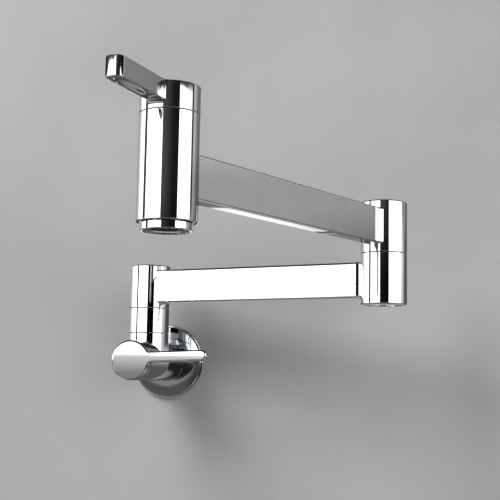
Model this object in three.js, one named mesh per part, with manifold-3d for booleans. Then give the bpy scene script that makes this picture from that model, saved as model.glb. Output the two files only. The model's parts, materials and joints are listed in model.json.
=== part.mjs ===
// Wall mounted pot filler: a double jointed swing tap with two quarter turn valves.
// Millimetres, +Z up. The wall is the plane y = 0, the tap stands out towards -Y, and the origin is the
// centre of the wall flange. Turned pieces are drawn along their own axis and then laid in place.

import * as THREE from 'three';
import { mergeVertices } from 'three/addons/utils/BufferGeometryUtils.js';
import Module from 'manifold-3d';

// ---- Clearances ----
const clearance = 0.3; // between two pieces that touch
const seam = 0.4; // joint line that shows between two turned pieces
const edge = 1.0; // rounding of the polished outside edges
const seamEdge = 0.3; // rounding of the edges along a joint line

// ---- Wall flange and valve body ----
const flangeRadius = 31.5;
const flangeDepth = 4.7; // height of its rim above the wall
const flangeRound = 2.2; // rounding of the rim
const flangeDome = 1.0; // how far the face rises from the rim to the bore
const flangeRingThickness = 1.0;
const flangeWall = 1.6;
const flangeBoss = 2.6; // wall of the boss that grips the valve body
const gasketWidth = 4.0;
const bossStandOff = 0.5; // wall to the back of the flange's boss
const bodyRadius = 16.0;
const bodyLength = 83.0; // wall to the back of the shutoff handle
const inletRadius = 9.9; // half inch female thread, between its crests and roots
const inletDepth = 16.0;
const passageRadius = 5.0;
const chamberRadius = 11.3; // bore that takes a valve cartridge
const columnOut = 50.0; // wall to the axis of the base column
const columnRadius = 16.5;
const stubTop = 23.0;
const collarHeight = 20.1;

// ---- Quarter turn ceramic cartridge, used twice ----
const cartridgeLength = 36.0; // seat to the face of its nut
const seatSealHeight = 1.8;
const housingRadius = 8.8;
const housingWall = 1.3;
const housingShoulder = 3.5;
const cartridgeNutHeight = 4.5;
const nutSocket = 14.0; // across the flats of the wrench socket
const discHeight = 2.6;
const discPort = 1.9; // radius of the two openings in each disc
const discPortOut = 4.2;
const driverWidth = 5.0;
const driverHeight = 3.0;
const windowHeight = 7.0;
const windowWidth = 6.0;
const stemRadius = 4.0;
const stemGrip = 5.0; // length of stem inside a handle
const stemSealThickness = 1.1;

// ---- Swivels ----
const spindleRadius = 9.0;
const spindleBore = 5.5;
const spindleFoot = 13.0; // length screwed into the valve body
const studRadius = 5.2;
const crossHole = 3.4;
const portRadius = 3.8; // water way from a sleeve into its arm
const grooveHeight = 8.6; // water groove around the spindle
const grooveRadius = 11.3;
const ringOffset = 6.8; // from the water way to each O-ring
const ringThickness = 1.3;
const thrustHeight = 1.1;
const thrustRadius = 13.4;
const washerHeight = 1.0;
const washerRadius = 12.4;
const nutHeight = 2.9;
const nutFlats = 17.0;
const headHeight = 4.0;
const headFlats = 19.0;
const studProud = 0.5;
const recessRadius = 14.0;
const lidHeight = 3.4;
const lidInset = 0.3;
const lidEdge = 0.6;

// ---- Arms ----
const armHeight = 25.0;
const armThickness = 12.0;
const armWall = 2.6;
const lowerArmLength = 211.0; // between axes
const upperArmLength = 247.0;
const baseSleeveHeight = 35.0;
const elbowRadius = 17.0;
const elbowSleeveHeight = 37.6;
const elbowBlend = 5.8; // polished blend where the upper arm leaves its sleeve
const sharpBlend = 1.2; // blend at the other sleeve ends
const lowerArmTurn = -15.06; // degrees, from +X
const upperArmTurn = -94.59; // degrees, from the lower arm

// ---- Spout head ----
const headRadius = 17.0;
const headBelow = 28.0; // barrel below the middle of the arm
const headAbove = 31.8;
const armSocket = 3.5; // how deep the arm's end enters the barrel
const headPortRise = 6.0; // water way above the middle of the arm
const capHeight = 15.0;
const capRound = 0.8;
const aeratorRadius = 14.6;
const aeratorHeight = 4.2;
const aeratorNeckRadius = 11.5;
const aeratorNeckHeight = 8.2;
const aeratorWall = 1.6;
const aeratorSeat = 1.5; // ledge inside the neck that the insert stops against
const aeratorLip = 1.2; // inset of the insert from the rim
const insertHeight = 8.0;
const insertRingGap = 1.6;
const aeratorWasherHeight = 2.0;
const aeratorMouth = 2.2; // from the ring's outside to the edge of its mouth
const aeratorRoom = 12.0; // depth of the barrel's lower bore

// ---- Handles ----
const hubDepth = 6.7;
const leverReach = 63.7; // shutoff axis to the lever's tip
const leverHeight = 9.0;
const leverDepth = 6.0;
const leverOffset = 1.9; // lever's middle line above the hub's centre
const leverTilt = 2.5; // degrees
const leverTipRound = 4.0;
const leverBlend = 3.0;
const spoutLeverReach = 63.9;
const spoutLeverWidth = 10.2;
const spoutLeverHeight = 11.0;
const spoutLeverTurn = 12.95; // degrees, from the upper arm
const spoutLeverBlend = 2.0;
const spoutLeverTipRound = 3.9;
const gussetRadius = 3.0; // blend from the lever's underside down to the cap
const scoopLength = 30.0;
const scoopDepth = 2.2;
const scoopFromTip = 22.9; // tip to the middle of the scoop
const screwRadius = 1.5;
const screwSocket = 0.8;
const screwInset = 1.5;
const spoutScrewRise = 4.0; // joint line to the axis of the spout handle's screw

// ---- Heights that follow ----
const collarTop = stubTop + seam / 2 + collarHeight;
const baseSleeveBottom = collarTop + seam;
const baseSleeveTop = baseSleeveBottom + baseSleeveHeight;
const lowerArmLevel = baseSleeveBottom + baseSleeveHeight / 2;
const elbowBottom = lowerArmLevel - elbowSleeveHeight / 2;
const elbowMiddle = lowerArmLevel + elbowSleeveHeight / 2;
const upperSleeveBottom = elbowMiddle + seam;
const upperSleeveTop = upperSleeveBottom + elbowSleeveHeight;
const upperArmLevel = upperSleeveBottom + elbowSleeveHeight / 2;
const headBottom = upperArmLevel - headBelow;
const headTop = upperArmLevel + headAbove;
const capBottom = headTop + seam;
const capTop = capBottom + capHeight;
const topRecess = washerHeight + nutHeight + studProud + 3 * clearance + lidHeight + lidInset;
const plugRecess = headHeight + 2 * clearance + lidHeight + lidInset;

const wasm = await Module();
wasm.setup();

const wideTurn = 32; // facets round the outside shapes
const smallTurn = 14; // facets round the inner pieces
const arcSteps = 2;
const { PI } = Math;
const degrees = THREE.MathUtils.degToRad;

// ---- Finishes ----
const finish = (color, roughness, metalness) =>
  new THREE.MeshStandardMaterial({ color, roughness, metalness });
const chrome = () => finish(0xd9dde0, 0.06, 1.0);
const brass = () => finish(0xb8953f, 0.35, 1.0);
const steel = () => finish(0x8f9397, 0.35, 1.0);
const rubber = () => finish(0x17181a, 0.85, 0.0);
const ceramic = () => finish(0xeeece4, 0.3, 0.0);
const plastic = () => finish(0x2a2c2f, 0.5, 0.0);
const acetal = () => finish(0xe6e6e0, 0.45, 0.0);

// ---- Solids ----

// A closed geometry as a solid that can be joined and cut.
function solid(geometry) {
  const bare = geometry.index ? geometry.toNonIndexed() : geometry.clone();
  bare.deleteAttribute('normal');
  bare.deleteAttribute('uv');
  const merged = mergeVertices(bare, 1e-4);
  const place = merged.getAttribute('position');
  const index = merged.getIndex().array;
  const triangles = [];
  let volume = 0;
  const a = new THREE.Vector3();
  const b = new THREE.Vector3();
  const c = new THREE.Vector3();
  for (let i = 0; i < index.length; i += 3) {
    const [p, q, r] = [index[i], index[i + 1], index[i + 2]];
    if (p === q || q === r || r === p) continue;
    triangles.push(p, q, r);
    a.fromBufferAttribute(place, p);
    b.fromBufferAttribute(place, q);
    c.fromBufferAttribute(place, r);
    volume += a.dot(b.cross(c));
  }
  if (volume < 0) triangles.reverse();
  return new wasm.Manifold(new wasm.Mesh({
    numProp: 3,
    vertProperties: new Float32Array(place.array),
    triVerts: new Uint32Array(triangles),
  }));
}

// One named piece, from its solid.
function piece(name, body, material) {
  const mesh = body.getMesh();
  const geometry = new THREE.BufferGeometry();
  geometry.setAttribute('position', new THREE.BufferAttribute(mesh.vertProperties, mesh.numProp));
  geometry.setIndex(new THREE.BufferAttribute(mesh.triVerts, 1));
  geometry.computeVertexNormals();
  const part = new THREE.Mesh(geometry, material);
  part.name = name;
  return part;
}

// A profile of [radius, height] points turned about Z. It starts and ends on the axis, or closes.
function turned(profile, facets = wideTurn) {
  const points = profile.map(([r, z]) => new THREE.Vector2(r, z));
  return new THREE.LatheGeometry(points, facets).rotateX(PI / 2);
}

const rod = (radius, from, to, facets = wideTurn) =>
  turned([[0, from], [radius, from], [radius, to], [0, to]], facets);

const tube = (inner, outer, from, to, facets = smallTurn) =>
  turned([[inner, from], [outer, from], [outer, to], [inner, to], [inner, from]], facets);

// Points of a quarter round about (r, z), from one angle in quarter turns to the next.
function quarter(r, z, radius, start) {
  const points = [];
  for (let i = 0; i <= arcSteps; i += 1) {
    const angle = (start + i / arcSteps) * PI / 2;
    points.push([r + radius * Math.cos(angle), z + radius * Math.sin(angle)]);
  }
  return points;
}

// A rod whose lower and upper edges are rounded.
function roundedRod(radius, from, to, below, above) {
  return turned([
    [0, from],
    ...quarter(radius - below, from + below, below, -1),
    ...quarter(radius - above, to - above, above, 0),
    [0, to],
  ]);
}

// A rubber ring that lies in a groove, between two radii.
function sealRing(inner, outer, level, facets = smallTurn) {
  const radius = (outer - inner) / 2;
  const middle = inner + radius;
  const points = [];
  const sides = 6;
  for (let i = 0; i <= sides; i += 1) {
    const angle = 2 * PI * (i % sides) / sides;
    points.push([middle + radius * Math.cos(angle), level + radius * Math.sin(angle)]);
  }
  return turned(points, facets);
}

// A hexagonal bar, by its width across the flats.
const hexagon = (flats, from, to) => rod(flats / Math.sqrt(3), from, to, 6);

const block = (x, y, z, lengthX, lengthY, lengthZ) =>
  new THREE.BoxGeometry(lengthX, lengthY, lengthZ).translate(x, y, z);

// A round bar that runs along +X from the Z axis.
const across = (radius, from, to, level, facets = smallTurn) =>
  rod(radius, from, to, facets).rotateY(PI / 2).translate(0, 0, level);

// Where an edge at a height leaves a round column through a concave blend.
function leave(column, height, blend) {
  const y = height + blend;
  const x = Math.sqrt((column + blend) ** 2 - y ** 2);
  const share = column / (column + blend);
  return { x, y, blend, onColumn: new THREE.Vector2(x * share, y * share), angle: Math.atan2(-y, -x) };
}

// Outline of a flat bar that leaves a round column at the origin and runs along +X. It ends square, in
// rounded corners, or in a second column.
function barOutline(column, blend, upper, lower, reach, tip = {}) {
  const top = leave(column, upper, blend);
  const bottom = leave(column, lower, blend);
  const shape = new THREE.Shape();
  shape.moveTo(0, top.onColumn.y);
  shape.lineTo(top.onColumn.x, top.onColumn.y);
  shape.absarc(top.x, top.y, blend, top.angle, -PI / 2, false);
  if (tip.column) {
    const far = leave(tip.column, upper, tip.blend);
    shape.absarc(reach - far.x, far.y, far.blend, -PI / 2, PI - far.angle - 2 * PI, false);
    shape.lineTo(reach, far.onColumn.y);
    shape.lineTo(reach, -far.onColumn.y);
    shape.absarc(reach - far.x, -far.y, far.blend, -(PI - far.angle), PI / 2 - 2 * PI, false);
  } else if (tip.round) {
    shape.absarc(reach - tip.round, upper - tip.round, tip.round, PI / 2, 0, true);
    shape.absarc(reach - tip.round, tip.round - lower, tip.round, 0, -PI / 2, true);
  } else {
    shape.lineTo(reach, upper);
    shape.lineTo(reach, -lower);
  }
  shape.absarc(bottom.x, -bottom.y, blend, PI / 2, -bottom.angle, false);
  shape.lineTo(0, -bottom.onColumn.y);
  return shape;
}

// An outline as a slab with polished edges, from one height to another.
function slab(shape, from, to, round) {
  return new THREE.ExtrudeGeometry(shape, {
    depth: to - from - 2 * round,
    bevelEnabled: true,
    bevelThickness: round,
    bevelSize: round,
    bevelOffset: -round,
    bevelSegments: 1,
    curveSegments: 4,
  }).translate(0, 0, from + round);
}

// ---- Valve cartridge ----

// The pieces of a quarter turn cartridge along +Z, with its seat at height 0. The fixed ones go to
// one group and those that turn with the handle to the other.
function cartridge(prefix, fixed, turning, stemLength) {
  const sealTop = clearance + seatSealHeight;
  const housingBottom = sealTop + clearance;
  const nutBottom = cartridgeLength - cartridgeNutHeight;
  const housingTop = nutBottom - clearance;
  const fit = chamberRadius - clearance;
  const bore = housingRadius - housingWall;
  const stemBore = stemRadius + clearance;
  const discRadius = bore - clearance;
  const movingBottom = housingBottom + discHeight + clearance;
  const driverBottom = movingBottom + discHeight + clearance;
  const driverTop = driverBottom + driverHeight;
  const windowLevel = driverTop + windowHeight / 2;
  const bearingBottom = driverTop + windowHeight + clearance;
  const sealLevel = (bearingBottom + housingTop) / 2;
  const grooveFloor = stemRadius - stemSealThickness - clearance;
  const grooveHalf = stemSealThickness / 2 + clearance;

  const seal = solid(tube(passageRadius, housingRadius, clearance, sealTop));
  fixed.add(piece(`${prefix}_seat_seal`, seal, rubber()));

  const housing = solid(turned([
    [bore, housingBottom], [housingRadius, housingBottom],
    [housingRadius, housingTop - housingShoulder], [fit, housingTop - housingShoulder],
    [fit, housingTop], [stemBore, housingTop], [stemBore, bearingBottom], [bore, bearingBottom],
    [bore, housingBottom],
  ], smallTurn)).subtract(solid(block(0, 0, windowLevel, 2 * chamberRadius, windowWidth, windowHeight)));
  fixed.add(piece(`${prefix}_cartridge_housing`, housing, brass()));

  const disc = (bottom, turn) => {
    let body = solid(rod(discRadius, bottom, bottom + discHeight, smallTurn));
    for (const side of [0, PI]) {
      const port = rod(discPort, bottom - 1, bottom + discHeight + 1, smallTurn / 2)
        .translate(discPortOut, 0, 0).rotateZ(turn + side);
      body = body.subtract(solid(port));
    }
    return body;
  };
  fixed.add(piece(`${prefix}_disc_fixed`, disc(housingBottom, 0), ceramic()));
  turning.add(piece(`${prefix}_disc_moving`, disc(movingBottom, PI / 2), ceramic()));

  const stem = solid(turned([
    [0, driverBottom], [stemRadius, driverBottom],
    [stemRadius, sealLevel - grooveHalf], [grooveFloor, sealLevel - grooveHalf],
    [grooveFloor, sealLevel + grooveHalf], [stemRadius, sealLevel + grooveHalf],
    [stemRadius, stemLength], [0, stemLength],
  ], smallTurn)).add(
    solid(block(0, 0, driverBottom + driverHeight / 2, 2 * (discRadius - 1), driverWidth, driverHeight)),
  );
  turning.add(piece(`${prefix}_stem`, stem, brass()));

  const ring = solid(sealRing(grooveFloor + clearance, stemRadius, sealLevel));
  turning.add(piece(`${prefix}_stem_o_ring`, ring, rubber()));

  const nut = solid(tube(stemBore, fit, nutBottom, cartridgeLength))
    .subtract(solid(hexagon(nutSocket, cartridgeLength - cartridgeNutHeight / 2, cartridgeLength + 1)));
  fixed.add(piece(`${prefix}_cartridge_nut`, nut, brass()));
}

// A grub screw along +X, from the stem out to just inside the handle's surface.
function setScrew(name, surface, level) {
  const from = stemRadius + clearance;
  const to = surface - screwInset;
  const body = solid(across(screwRadius, from, to, level))
    .subtract(solid(hexagon(2 * screwSocket, to - 2 * screwSocket, to + 1)
      .rotateY(PI / 2).translate(0, 0, level)));
  return piece(name, body, steel());
}

// ---- Swivels ----

// What a sleeve loses so that it can turn about its spindle: bore, water groove and thrust washer seat.
function sleeveBore(level, from, to) {
  return [
    rod(spindleRadius + clearance, from - 1, to + 1, smallTurn),
    rod(grooveRadius, level - grooveHeight / 2, level + grooveHeight / 2, smallTurn),
  ];
}

const thrustRoof = (bottom) => bottom - seam + thrustHeight + 2 * clearance;
const thrustSeat = (bottom) => rod(thrustRadius + clearance, bottom - 1, thrustRoof(bottom));
const lidRecess = (top) => rod(recessRadius, top - topRecess, top + 1);

// Grooves for the O-rings on both sides of a water way, and the way itself.
function spindleCuts(level) {
  const half = ringThickness / 2 + clearance;
  const floor = spindleRadius - ringThickness - clearance;
  const cuts = [across(crossHole, -2 * spindleRadius, 2 * spindleRadius, level)];
  for (const side of [-1, 1]) {
    const middle = level + side * ringOffset;
    cuts.push(tube(floor, spindleRadius + 1, middle - half, middle + half));
  }
  return cuts;
}

const spindleRing = (level) => solid(sealRing(spindleRadius - ringThickness, spindleRadius, level));

const cutAll = (body, tools) => tools.reduce((rest, tool) => rest.subtract(solid(tool)), body);

// The washer and nut on a spindle, which hold its sleeve down.
function retainers(prefix, group, top) {
  const washerBottom = top - topRecess + clearance;
  const nutBottom = washerBottom + washerHeight + clearance;
  const hole = studRadius + clearance;
  const washer = solid(tube(hole, washerRadius, washerBottom, washerBottom + washerHeight));
  group.add(piece(`${prefix}_retaining_washer`, washer, steel()));
  const nut = solid(hexagon(nutFlats, nutBottom, nutBottom + nutHeight))
    .subtract(solid(rod(hole, nutBottom - 1, nutBottom + nutHeight + 1, smallTurn)));
  group.add(piece(`${prefix}_retaining_nut`, nut, brass()));
}

const studTop = (top) => top - topRecess + washerHeight + nutHeight + 2 * clearance + studProud;

function lid(name, group, top) {
  const face = top - lidInset;
  const body = solid(roundedRod(recessRadius - clearance, face - lidHeight, face, seamEdge, lidEdge));
  group.add(piece(name, body, chrome()));
}

function thrustWasher(name, group, bottom) {
  const from = bottom - seam + clearance;
  const washer = solid(tube(spindleRadius + clearance, thrustRadius, from, from + thrustHeight));
  group.add(piece(name, washer, acetal()));
}

// ---- Wall flange ----

const towardsRoom = (geometry) => geometry.rotateX(PI / 2); // an axis along +Z now runs along -Y

function wallFlange(group) {
  const bore = bodyRadius + clearance;
  const hollow = flangeDepth - flangeWall;
  const inner = flangeRadius - 2 * flangeWall;
  const boss = bore + flangeBoss;
  const bossTop = flangeDepth + flangeDome;
  const flange = turned([
    [inner, 0], [flangeRadius, 0],
    ...quarter(flangeRadius - flangeRound, flangeDepth - flangeRound, flangeRound, 0),
    [(flangeRadius + boss) / 2, flangeDepth + 0.7 * flangeDome],
    [boss, bossTop], [bore + seamEdge, bossTop], [bore, bossTop - seamEdge],
    [bore, bossStandOff], [boss, bossStandOff], [boss, hollow], [inner, hollow], [inner, 0],
  ]);
  const grooveHalf = flangeRingThickness / 2 + clearance;
  const grooveFloor = bore + flangeRingThickness + clearance;
  const groove = tube(bore - 1, grooveFloor, hollow - grooveHalf, hollow + grooveHalf, wideTurn);
  group.add(piece('wall_flange', solid(towardsRoom(flange)).subtract(solid(towardsRoom(groove))), chrome()));

  const ring = towardsRoom(sealRing(bore, bore + flangeRingThickness, hollow, wideTurn));
  group.add(piece('flange_o_ring', solid(ring), rubber()));

  const gasketOuter = inner - clearance;
  const gasket = towardsRoom(tube(gasketOuter - gasketWidth, gasketOuter, 0, hollow - clearance, wideTurn));
  group.add(piece('flange_gasket', solid(gasket), rubber()));
}

// ---- Valve body with the base column ----

const spindleBottom = stubTop - spindleFoot;

function valveBody(group) {
  const seat = bodyLength - cartridgeLength;
  const barrel = solid(towardsRoom(roundedRod(bodyRadius, 0, bodyLength, seamEdge, seamEdge)));
  const stub = solid(rod(columnRadius, 0, stubTop - seam / 2).translate(0, -columnOut, 0));
  const portFloor = passageRadius + 2;
  const cuts = [
    towardsRoom(rod(inletRadius, -1, inletDepth)),
    towardsRoom(rod(passageRadius, 0, seat + 1, smallTurn)),
    towardsRoom(rod(chamberRadius, seat, bodyLength + 1)),
    rod(spindleRadius + clearance, spindleBottom - clearance, stubTop + 1).translate(0, -columnOut, 0),
    rod(spindleBore, portFloor, stubTop, smallTurn).translate(0, -columnOut, 0),
  ];
  group.add(piece('valve_body', cutAll(barrel.add(stub), cuts), chrome()));

  const fixed = new THREE.Group();
  const turning = new THREE.Group();
  const stemLength = cartridgeLength + clearance + stemGrip;
  cartridge('shutoff', fixed, turning, stemLength);
  for (const half of [fixed, turning]) {
    half.position.set(0, -seat, 0);
    half.rotation.x = PI / 2;
    group.add(half);
  }
}

function baseColumn(group) {
  const collar = solid(roundedRod(columnRadius, stubTop + seam / 2, collarTop, seamEdge, seamEdge))
    .subtract(solid(rod(spindleRadius + clearance, stubTop, collarTop + 1)));
  group.add(piece('base_collar', collar, chrome()));

  const sealLevel = stubTop - spindleFoot / 3;
  const half = ringThickness / 2 + clearance;
  const floor = baseSleeveTop - topRecess;
  const spindle = cutAll(
    solid(rod(spindleRadius, spindleBottom, floor, smallTurn))
      .add(solid(rod(studRadius, floor - 1, studTop(baseSleeveTop), smallTurn))),
    [
      rod(spindleBore, spindleBottom - 1, lowerArmLevel + crossHole, smallTurn),
      tube(spindleRadius - ringThickness - clearance, spindleRadius + 1, sealLevel - half, sealLevel + half),
      ...spindleCuts(lowerArmLevel),
    ],
  );
  group.add(piece('base_spindle', spindle, brass()));
  group.add(piece('base_spindle_seal', spindleRing(sealLevel), rubber()));
  group.add(piece('base_o_ring_lower', spindleRing(lowerArmLevel - ringOffset), rubber()));
  group.add(piece('base_o_ring_upper', spindleRing(lowerArmLevel + ringOffset), rubber()));
  retainers('base', group, baseSleeveTop);
}

// ---- Arms ----

// The water channel of an arm, and the ports at its ends.
function armChannel(level, from, to) {
  const middle = (from + to) / 2;
  return block(middle, 0, level, to - from, armThickness - 2 * armWall, armHeight - 2 * armWall);
}

function lowerArm(group) {
  const half = armThickness / 2;
  const bar = barOutline(columnRadius, sharpBlend, half, half, lowerArmLength,
    { column: elbowRadius, blend: sharpBlend });
  const level = lowerArmLevel;
  const elbowSleeve = roundedRod(elbowRadius, elbowBottom, elbowMiddle, edge, seamEdge);
  const outside = solid(slab(bar, level - armHeight / 2, level + armHeight / 2, edge))
    .add(solid(roundedRod(columnRadius, baseSleeveBottom, baseSleeveTop, seamEdge, edge)))
    .add(solid(elbowSleeve.translate(lowerArmLength, 0, 0)));
  const cuts = [
    ...sleeveBore(level, baseSleeveBottom, baseSleeveTop),
    thrustSeat(baseSleeveBottom),
    lidRecess(baseSleeveTop),
    ...sleeveBore(level, elbowBottom, elbowMiddle).map((tool) => tool.translate(lowerArmLength, 0, 0)),
    rod(recessRadius, elbowBottom - 1, elbowBottom + plugRecess).translate(lowerArmLength, 0, 0),
    armChannel(level, columnRadius + 1, lowerArmLength - elbowRadius - 1),
    across(portRadius, 0, columnRadius + 2, level),
    across(portRadius, lowerArmLength - elbowRadius - 2, lowerArmLength, level),
  ];
  group.add(piece('lower_arm', cutAll(outside, cuts), chrome()));
  lid('base_cap', group, baseSleeveTop);
  thrustWasher('base_thrust_washer', group, baseSleeveBottom);
}

function elbowSwivel(group) {
  const headTopLevel = elbowBottom + plugRecess - clearance;
  const headBottomLevel = headTopLevel - headHeight;
  const floor = upperSleeveTop - topRecess;
  const levels = [lowerArmLevel, upperArmLevel];
  const spindle = cutAll(
    solid(hexagon(headFlats, headBottomLevel, headTopLevel))
      .add(solid(rod(spindleRadius, headBottomLevel, floor, smallTurn)))
      .add(solid(rod(studRadius, floor - 1, studTop(upperSleeveTop), smallTurn))),
    [
      rod(spindleBore, lowerArmLevel - crossHole, upperArmLevel + crossHole, smallTurn),
      ...levels.flatMap(spindleCuts),
    ],
  );
  group.add(piece('elbow_spindle', spindle, brass()));
  let count = 0;
  for (const level of levels) {
    for (const side of [-1, 1]) {
      count += 1;
      group.add(piece(`elbow_o_ring_${count}`, spindleRing(level + side * ringOffset), rubber()));
    }
  }
  retainers('elbow', group, upperSleeveTop);
  const plugFace = elbowBottom + lidInset;
  const plugTop = plugFace + lidHeight;
  const plug = solid(roundedRod(recessRadius - clearance, plugFace, plugTop, lidEdge, seamEdge));
  group.add(piece('elbow_bottom_plug', plug, chrome()));
}

const armEnd = upperArmLength - headRadius + armSocket;

function upperArm(group) {
  const half = armThickness / 2;
  const level = upperArmLevel;
  const bar = barOutline(elbowRadius, elbowBlend, half, half, armEnd);
  const outside = solid(slab(bar, level - armHeight / 2, level + armHeight / 2, edge))
    .add(solid(roundedRod(elbowRadius, upperSleeveBottom, upperSleeveTop, seamEdge, edge)));
  const cuts = [
    ...sleeveBore(level, upperSleeveBottom, upperSleeveTop),
    thrustSeat(upperSleeveBottom),
    lidRecess(upperSleeveTop),
    armChannel(level, elbowRadius + 1, armEnd + 1),
    across(portRadius, 0, elbowRadius + 2, level),
  ];
  group.add(piece('upper_arm', cutAll(outside, cuts), chrome()));
  lid('elbow_cap', group, upperSleeveTop);
  thrustWasher('elbow_thrust_washer', group, upperSleeveBottom);
}

// ---- Spout head, drawn about its own axis with the arm coming from -X ----

const spoutSeat = headTop - cartridgeLength;

function spoutHead(group, turning) {
  const level = upperArmLevel;
  const roomTop = headBottom + aeratorRoom;
  const barrel = solid(roundedRod(headRadius, headBottom, headTop, seamEdge, seamEdge));
  const socketFloor = -(headRadius - armSocket - clearance);
  const cuts = [
    block(socketFloor - headRadius, 0, level,
      2 * headRadius, armThickness + 2 * clearance, armHeight + 2 * clearance),
    rod(chamberRadius, spoutSeat, headTop + 1),
    rod(passageRadius, roomTop - 1, spoutSeat + 1, smallTurn),
    rod(aeratorNeckRadius + clearance, headBottom - 1, roomTop),
    across(portRadius, -headRadius, 0, level + headPortRise),
  ];
  group.add(piece('spout_body', cutAll(barrel, cuts), chrome()));

  const fixed = new THREE.Group();
  fixed.position.z = spoutSeat;
  group.add(fixed);
  const moving = new THREE.Group();
  moving.position.z = spoutSeat;
  turning.add(moving);
  cartridge('spout', fixed, moving, cartridgeLength + seam + stemGrip);
}

function aerator(group) {
  const shoulder = headBottom - seam;
  const rim = shoulder - aeratorHeight;
  const neckTop = shoulder + aeratorNeckHeight;
  const bore = aeratorNeckRadius - aeratorWall;
  const mouth = aeratorRadius - aeratorMouth;
  const ledge = rim + aeratorLip + insertHeight;
  const housing = solid(turned([
    [mouth, rim], [aeratorRadius - seamEdge, rim], [aeratorRadius, rim + seamEdge], [aeratorRadius, shoulder],
    [aeratorNeckRadius, shoulder], [aeratorNeckRadius, neckTop], [bore - aeratorSeat, neckTop],
    [bore - aeratorSeat, ledge + clearance], [bore, ledge + clearance],
    [bore, rim + aeratorLip], [mouth, rim],
  ]));
  group.add(piece('aerator_housing', housing, chrome()));

  let insert = solid(rod(bore - clearance, rim + aeratorLip, ledge));
  const ringStep = 2 * insertRingGap;
  for (let inner = insertRingGap; inner + insertRingGap < bore - clearance; inner += ringStep) {
    const groove = tube(inner, inner + insertRingGap, rim, rim + aeratorLip + insertHeight / 2);
    insert = insert.subtract(solid(groove));
  }
  group.add(piece('aerator_insert', insert, plastic()));

  const washerFrom = neckTop + clearance;
  const washerTop = washerFrom + aeratorWasherHeight;
  const washer = solid(tube(passageRadius + 1, aeratorNeckRadius, washerFrom, washerTop));
  group.add(piece('aerator_washer', washer, rubber()));
}

// ---- Handles ----

// The front valve's flat handle, drawn with its axis along +Z and laid towards the room.
function shutoffHandle(group) {
  const from = bodyLength + clearance;
  const to = from + hubDepth;
  const hub = solid(roundedRod(bodyRadius, from, to, seamEdge, edge));
  const outline = barOutline(bodyRadius, leverBlend, leverOffset + leverHeight / 2,
    leverHeight / 2 - leverOffset, leverReach, { round: leverTipRound });
  const lever = slab(outline, to - leverDepth, to, edge).rotateZ(degrees(leverTilt));
  const screwLevel = from + hubDepth / 2;
  const screwHole = across(screwRadius + clearance, 0, bodyRadius + 1, screwLevel).rotateZ(-PI / 2);
  const stemHole = rod(stemRadius + clearance, from - 1, bodyLength + 2 * clearance + stemGrip, smallTurn);
  const handle = cutAll(hub.add(solid(lever)), [stemHole, screwHole]);
  const facing = new THREE.Group();
  facing.rotation.x = PI / 2;
  facing.add(piece('shutoff_handle', handle, chrome()));
  const screw = setScrew('shutoff_set_screw', bodyRadius, screwLevel);
  screw.rotation.z = -PI / 2;
  facing.add(screw);
  group.add(facing);
}

// The concave blend between the spout lever's underside and the cap, as wide as the lever.
function gusset(half, level) {
  const steps = 2 * arcSteps;
  const profile = [[headRadius - edge, level - gussetRadius]];
  for (let i = 0; i <= steps; i += 1) {
    const angle = i / steps * PI / 2;
    const out = headRadius + gussetRadius * (1 - Math.cos(angle));
    profile.push([out, level - gussetRadius * (1 - Math.sin(angle))]);
  }
  profile.push([headRadius + gussetRadius, level + edge], [headRadius - edge, level + edge], profile[0]);
  const width = block(headRadius, 0, level, 3 * gussetRadius, 2 * (half - edge / 2), 3 * gussetRadius);
  return solid(turned(profile)).intersect(solid(width));
}

// The spout's handle: a cap over the barrel with a square lever along +X.
function spoutHandle(group) {
  const half = spoutLeverWidth / 2;
  const cap = solid(roundedRod(headRadius, capBottom, capTop, seamEdge, capRound));
  const tip = { round: spoutLeverTipRound };
  const outline = barOutline(headRadius, spoutLeverBlend, half, half, spoutLeverReach, tip);
  const leverBottom = capTop - spoutLeverHeight;
  const scoop = new THREE.SphereGeometry(1, 20, 12)
    .scale(scoopLength / 2, half - edge, scoopDepth)
    .translate(spoutLeverReach - scoopFromTip, 0, leverBottom);
  const screwLevel = capBottom + spoutScrewRise;
  const stemHole = rod(stemRadius + clearance, capBottom - 1, capBottom + clearance + stemGrip, smallTurn);
  const lever = solid(slab(outline, leverBottom, capTop, edge)).add(gusset(half, leverBottom));
  const handle = cutAll(cap.add(lever), [
    scoop,
    stemHole,
    across(screwRadius + clearance, 0, headRadius + 1, screwLevel).rotateZ(PI),
  ]);
  group.add(piece('spout_handle', handle, chrome()));
  const screw = setScrew('spout_set_screw', headRadius, screwLevel);
  screw.rotation.z = PI;
  group.add(screw);
}

// ---- Assembly ----

const tap = new THREE.Group();
wallFlange(tap);
valveBody(tap);
shutoffHandle(tap);

const column = new THREE.Group();
column.position.y = -columnOut;
baseColumn(column);
tap.add(column);

const lower = new THREE.Group();
lower.position.y = -columnOut;
lower.rotation.z = degrees(lowerArmTurn);
lowerArm(lower);
tap.add(lower);

const elbow = new THREE.Group();
elbow.position.x = lowerArmLength;
elbowSwivel(elbow);
lower.add(elbow);

const upper = new THREE.Group();
upper.position.x = lowerArmLength;
upper.rotation.z = degrees(upperArmTurn);
upperArm(upper);
lower.add(upper);

const head = new THREE.Group();
head.position.x = upperArmLength;
upper.add(head);

const spoutTurning = new THREE.Group();
spoutTurning.position.x = upperArmLength;
spoutTurning.rotation.z = degrees(spoutLeverTurn);
upper.add(spoutTurning);

spoutHead(head, spoutTurning);
aerator(head);
spoutHandle(spoutTurning);

export default tap;
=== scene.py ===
import json
import math

import bmesh
import bpy
from mathutils import Matrix, Vector


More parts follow.
